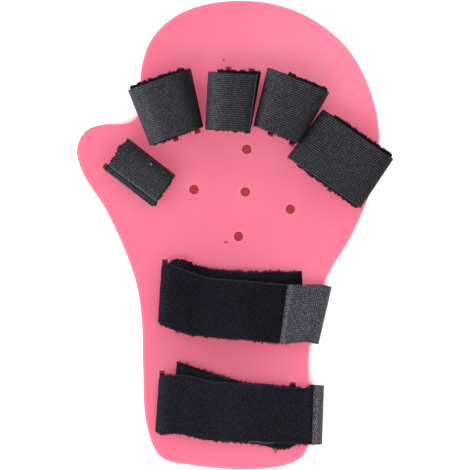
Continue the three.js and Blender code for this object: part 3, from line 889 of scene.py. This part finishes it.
def fibre_material(name, colour):
    """Single fibres, a little lighter here and there."""
    material, tree, shader = new_material(name, Roughness=0.85, Specular_IOR_Level=0.15)
    share = ramp(tree, noise(tree, position(tree), scale=1500.0), 0.4, 0.7)
    lighter = [2.2 * value for value in colour]
    mixed = blend_colour(tree, share, (*colour, 1), (*lighter, 1))
    tree.links.new(mixed, shader.inputs["Base Color"])
    return material


# Sections of the tapes
RIB_COUNT = 26
RIB_DEPTH = 0.14
RIB_COLUMNS = 4
RIB_PITCH = (TAPE_WIDTH - 2 * EDGE_SHOULDER) / RIB_COUNT
PILE_COLUMNS = 44
BACK_COLUMNS = 28

BOARD_PLASTIC = board_material()
HOOK_WEAVE = tape_material("hook_tape_weave", (0.003, 0.003, 0.004, 1), (0.082, 0.082, 0.10, 1),
                           (0.155, 0.155, 0.18, 1), rib_pitch=RIB_PITCH, rib_share=0.78,
                           flecked=0.57, lean=1.0)
THUMB_WEAVE = tape_material("thumb_hook_weave", (0.003, 0.003, 0.004, 1), (0.095, 0.095, 0.115, 1),
                            (0.155, 0.155, 0.18, 1), rib_pitch=RIB_PITCH, rib_share=0.9,
                            flecked=0.57, lean=0.5)
STRAP_WEAVE = tape_material("strap_hook_weave", (0.010, 0.010, 0.014, 1), (0.075, 0.075, 0.09, 1),
                            (0.24, 0.24, 0.28, 1), rib_pitch=1.6, rib_share=0.6,
                            flecked=0.55, lean=0.2, ridge=3.0)
LOOP_PILE = pile_material("loop_tape_pile", (0.002, 0.002, 0.003, 1), (0.022, 0.022, 0.028, 1),
                          (0.012, 0.012, 0.015, 1))
THUMB_PILE = pile_material("thumb_loop_pile", (0.006, 0.006, 0.008, 1), (0.085, 0.085, 0.10, 1),
                           (0.02, 0.02, 0.025, 1))
STRAP_PILE = pile_material("strap_pile", (0.003, 0.003, 0.005, 1), (0.032, 0.031, 0.043, 1),
                           (0.045, 0.045, 0.055, 1))
BLACK_FIBRE = fibre_material("black_fibre", (0.006, 0.006, 0.007))
PALE_THREAD = fibre_material("pale_thread", (0.10, 0.10, 0.11))
WHITE_LINT = fibre_material("white_lint", (0.42, 0.42, 0.42))

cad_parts["board"].data.materials.clear()
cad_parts["board"].data.materials.append(BOARD_PLASTIC)


def rib_groove(v):
    return RIB_DEPTH * (0.5 + 0.5 * math.cos(2 * math.pi * v / RIB_PITCH))


HOOK_PROFILE = section_profile(HOOK_THICKNESS, RIB_COUNT * RIB_COLUMNS + 1, BACK_COLUMNS, rib_groove)
LOOP_PROFILE = section_profile(LOOP_THICKNESS, PILE_COLUMNS, PILE_COLUMNS)
STRAP_HOOK_PROFILE = section_profile(HOOK_THICKNESS, PILE_COLUMNS, BACK_COLUMNS)


def ragged_pile(band, rng, relief, ragged):
    """Small lumps on the faces and an uneven, tufted line along both edges."""
    stations = len(band.at)
    band.h += np.sign(band.h) * relief * lumps(rng, band.shape, (1, 1))
    for sign in (-1, 1):
        edge = lumps(rng, (stations,), (0,)) + 0.35 * lumps(rng, (stations,), (1,))
        weight = np.clip(sign * band.v / HALF_WIDTH, 0, 1) ** 24
        band.v += sign * weight * ragged * edge[:, None]


def dress(band, name, node, material):
    piece = band.build(name, material)
    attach(piece, "root")
    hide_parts(node)
    return piece


def with_host(piece, host):
    """A fuzz, thread or lint mesh that goes with the tape it grows on."""
    piece.parent = host


# What the photograph shows of the finger tapes, in millimetres: how far the loop tape's soft edges and
# the hook tape's own edges stand out on the fingertip side and the palm side, and how far the side
# walls stand out: the hook tape's, its free end's and the loop tape's. What a row leaves out is none.
FINGER_SHOWS = {
    "thumb": {"loop_edges": (0.5, 0.5)},
    "index": {"loop_edges": (1.6, 0.3)},
    "middle": {"loop_edges": (0.1, 0.4), "hook_edges": (-1.4, 0)},
    "ring": {"loop_edges": (1.3, 0.3), "walls": (0, 0.5, 0.5)},
    "pinky": {"loop_edges": (1.6, 0.8), "walls": (0.9, 0, 0)},
}
WALL_REACH = 12.0

# The first seeds of the random draws, one for each finger and each strap
FINGER_SEED = 100
STRAP_SEED = 200

for number, finger in enumerate(FINGERS):
    rng = np.random.default_rng(FINGER_SEED + number)
    name = finger["name"]
    shows = FINGER_SHOWS[name]
    hook_wall, end_wall, loop_wall = shows.get("walls", (0, 0, 0))
    widest = BOARD_TOP + WIDEST_SHARE * finger["rise"] * LOOP_RISE
    far, near = finger_edges(finger, hook_tape_points)
    hook = Band(far[::-1], near[::-1], finger["hook_side"], HOOK_PROFILE)
    hook.round_ends()
    hook.bulge(hook.at_height(widest), WALL_REACH, hook_wall)
    hook.bulge(0.0, WALL_REACH, end_wall)
    hook.widen(*shows.get("hook_edges", (0, 0)))
    weave = THUMB_WEAVE if name == "thumb" else HOOK_WEAVE
    host = dress(hook, f"{name}_ribbed_tape", f"{name}_hook_tape", weave)
    frayed = fuzz(hook, rng, f"{name}_ribbed_fray", BLACK_FIBRE, on_faces=0, on_edges=1600,
                  edge_reach=(0.4, 1.1))
    with_host(frayed, host)

    loop = Band(*finger_edges(finger, loop_tape_points), finger["hook_side"], LOOP_PROFILE)
    loop.bulge(loop.at_height(widest), WALL_REACH, loop_wall)
    loop.widen(*shows["loop_edges"])
    loop.round_ends()
    ragged_pile(loop, rng, relief=0.12, ragged=0.6)
    pile = THUMB_PILE if name == "thumb" else LOOP_PILE
    host = dress(loop, f"{name}_pile_tape", f"{name}_loop_tape", pile)
    soft = fuzz(loop, rng, f"{name}_pile_fuzz", BLACK_FIBRE, on_faces=3500, on_edges=5500,
                edge_reach=(0.6, 1.5))
    with_host(soft, host)

# The straps' edges that stand out over the plate do so above this height
OVER_PLATE = BOARD_TOP + 0.4

# Where else the straps' edges leave their straight lines: the forearm strap's near edge from this X,
# its far edge this far before its end, and the wrist strap's near edge this far past its left fold
FOREARM_BULGE_X = 29.0
FOREARM_BEFORE_END = 14.0
WRIST_PAST_FOLD = 6.0

for number, strap in enumerate(STRAPS):
    rng = np.random.default_rng(STRAP_SEED + number)
    name = strap["name"]
    band = Band(*edges_of(strap_sections(strap)), 1, LOOP_PROFILE)
    band.round_ends()
    ragged_pile(band, rng, relief=0.14, ragged=0.5)
    x = band.middle[:, 0]
    left_fold, right_turn = band.at[np.argmin(x)], band.at[np.argmax(x)]
    band.round_fold(left_fold, reach=5.0, by=2.6)
    if name == "wrist":
        band.curl_end(reach=10.5, back=4.4, out=1.9, up=1.9, corner=2.4)
        band.swell(right_turn, reach=8.0, by=3.0, edge=1, lowest=0.0)
        band.swell(left_fold + WRIST_PAST_FOLD, reach=24.0, by=2.4, edge=-1, lowest=OVER_PLATE)
    else:
        bulge = band.at[np.argmax(x > FOREARM_BULGE_X)]
        band.swell(bulge, reach=10.0, by=2.0, edge=-1, lowest=OVER_PLATE)
        near_end = band.at[-1] - FOREARM_BEFORE_END
        band.swell(near_end, reach=20.0, by=-1.7, edge=1, lowest=OVER_PLATE)
    host = dress(band, f"{name}_pile_strap", f"{name}_strap", STRAP_PILE)
    soft = fuzz(band, rng, f"{name}_pile_fuzz", BLACK_FIBRE, on_faces=15000, on_edges=12000,
                edge_reach=(0.6, 1.7))
    with_host(soft, host)
    hook = Band(*edges_of(strap_hook_sections(strap)), 1, STRAP_HOOK_PROFILE)
    hook.round_ends()
    hook.press_seam(start=0.3, end=3.2, height=0.3)
    dress(hook, f"{name}_woven_tape", f"{name}_hook_tape", STRAP_WEAVE)


# Loose threads and a speck of lint, as rows of (across, down) in the photograph's pixels, with their
# thickness and how high the threads lie or how deep the lint sinks in, in millimetres
STRAY_THICKNESS = 0.5
STRAY_HEIGHT = 0.4
EDGE_THREAD_THICKNESS = 0.35
LINT_THICKNESS = 0.5
LINT_DEPTH = 0.5
FOREARM_THREADS = [
    [(276.0, 441.0), (278.5, 446.0), (276.5, 451.5)], [(279.0, 441.0), (281.5, 444.5), (284.0, 450.0)],
    [(277.0, 442.0), (274.0, 446.0), (275.5, 453.5)], [(284.0, 442.0), (286.0, 446.5), (283.0, 448.5)],
]
FOREARM_EDGE_THREAD = [(248.0, 441.5), (256.0, 441.2), (264.0, 442.8), (273.0, 442.4)]
THUMB_LINT = [(150.9, 164.9), (151.5, 164.4), (152.1, 164.6)]


def thread_paths(paths, height):
    return [[from_photo(across, down, height) for across, down in path] for path in paths]


forearm_host = bpy.data.objects["forearm_pile_strap"]
paths = thread_paths(FOREARM_THREADS, BOARD_TOP + STRAY_HEIGHT)
stray = thread_object("forearm_stray_threads", paths, STRAY_THICKNESS, BLACK_FIBRE)
with_host(stray, forearm_host)
strap_top = LAID_HEIGHT + STRAP_PITCH + LOOP_THICKNESS / 2 + STRAP_LIFT
paths = thread_paths([FOREARM_EDGE_THREAD], strap_top)
edge_thread = thread_object("forearm_edge_thread", paths, EDGE_THREAD_THICKNESS, PALE_THREAD)
with_host(edge_thread, forearm_host)
thumb_top = BOARD_TOP + FINGERS[0]["rise"] * LOOP_RISE + HOOK_THICKNESS
paths = thread_paths([THUMB_LINT], thumb_top - LINT_DEPTH)
lint = thread_object("thumb_lint", paths, LINT_THICKNESS, WHITE_LINT)
with_host(lint, bpy.data.objects["thumb_ribbed_tape"])


# Floor, light and camera

# Colours of the floor: white in the open and painted red under the plate, as if lit through it, and its
# glow: even in the open, painted stronger near the plate to wash out its shadow, and a painted red glow
# under the plate, dimmer where it is most shaded
FLOOR_WHITE = (0.96, 0.96, 0.96, 1)
FLOOR_PAINTED_RED = (0.62, 0.15, 0.18, 1)
OPEN_GLOW = (0.22, 0.22, 0.22, 1)
PAINTED_SHADOW_FILL = (0.55, 0.55, 0.55, 1)
PAINTED_DEEPEST_GLOW = (0.01, 0.001, 0.002, 1)
PAINTED_UNDER_GLOW = (0.05, 0.006, 0.010, 1)


def make_stage():
    size = 8.0
    corners = [(-size, -size, 0), (size, -size, 0), (size, size, 0), (-size, size, 0)]
    data = bpy.data.meshes.new("floor")
    data.from_pydata(corners, [], [(0, 1, 2, 3)])
    material, tree, shader = new_material("floor_white", Roughness=0.9, Emission_Strength=1.0)
    open_air = openness(tree, 0.03, 8)
    # Painted light: under the plate the floor is red and glows red, standing in for light through the
    # plastic, dimmer where most shaded
    under = ramp(tree, open_air, 0.45, 0.25)
    deepest = ramp(tree, open_air, 0.03, 0.15)
    deep = blend_colour(tree, deepest, PAINTED_DEEPEST_GLOW, PAINTED_UNDER_GLOW)
    # Painted light: the floor glows stronger near the plate, washing out its shadow
    painted_fill_glow = blend_colour(tree, ramp(tree, open_air, 0.97, 0.6), OPEN_GLOW, PAINTED_SHADOW_FILL)
    colour = blend_colour(tree, under, FLOOR_WHITE, FLOOR_PAINTED_RED)
    tree.links.new(colour, shader.inputs["Base Color"])
    glow = blend_colour(tree, under, painted_fill_glow, deep)
    tree.links.new(glow, shader.inputs["Emission Color"])
    data.materials.append(material)
    floor = new_object("floor", data)


def make_light(name, place, size, power):
    data = bpy.data.lights.new(name, "AREA")
    data.shape = "DISK"
    data.size = size
    data.energy = power
    light = new_object(name, data)
    light.location = place
    light.rotation_mode = "QUATERNION"
    light.rotation_quaternion = (-light.location).to_track_quat("-Z", "Y")
    light.visible_camera = False


def make_camera():
    """Straight down on the middle of the part, from far off. shown: how much of the plate's top face
    the frame takes in, in metres."""
    distance = 4.0
    shown = 0.3007
    data = bpy.data.cameras.new("camera")
    data.sensor_width = 36.0
    data.lens = data.sensor_width * (distance - BOARD_TOP / METRE) / shown
    data.clip_end = 50.0
    camera = new_object("camera", data)
    camera.location = (0, 0, distance)
    bpy.context.scene.camera = camera


# Brightness of the surroundings at the horizon and overhead, and how much it leans to each side
LOW_LIGHT = 1.25
HIGH_LIGHT = 1.1
LIGHT_LEAN_X = -0.05
LIGHT_LEAN_Y = -0.04


def make_world():
    """Light from all round, strongest near the horizon and on the left and near sides."""
    world = bpy.data.worlds.new("studio")
    world.use_nodes = True
    tree = world.node_tree
    background = tree.nodes["Background"]
    background.inputs["Color"].default_value = (1, 1, 1, 1)
    direction = add(tree, "ShaderNodeTexCoord").outputs["Generated"]
    x, y, z = add(tree, "ShaderNodeSeparateXYZ", Vector=direction).outputs
    height = add(tree, "ShaderNodeMapRange", {"clamp": True}, Value=z, From_Min=0.0, From_Max=1.0,
                 To_Min=LOW_LIGHT, To_Max=HIGH_LIGHT).outputs[0]
    leaning = plus(tree, times(tree, x, LIGHT_LEAN_X), times(tree, y, LIGHT_LEAN_Y))
    tree.links.new(times(tree, height, plus(tree, leaning, 1.0)), background.inputs["Strength"])
    bpy.context.scene.world = world


make_stage()
make_world()
make_light("key", place=(-0.9, -0.8, 1.6), size=0.9, power=8)
make_camera()
bpy.context.scene.view_settings.view_transform = "Standard"
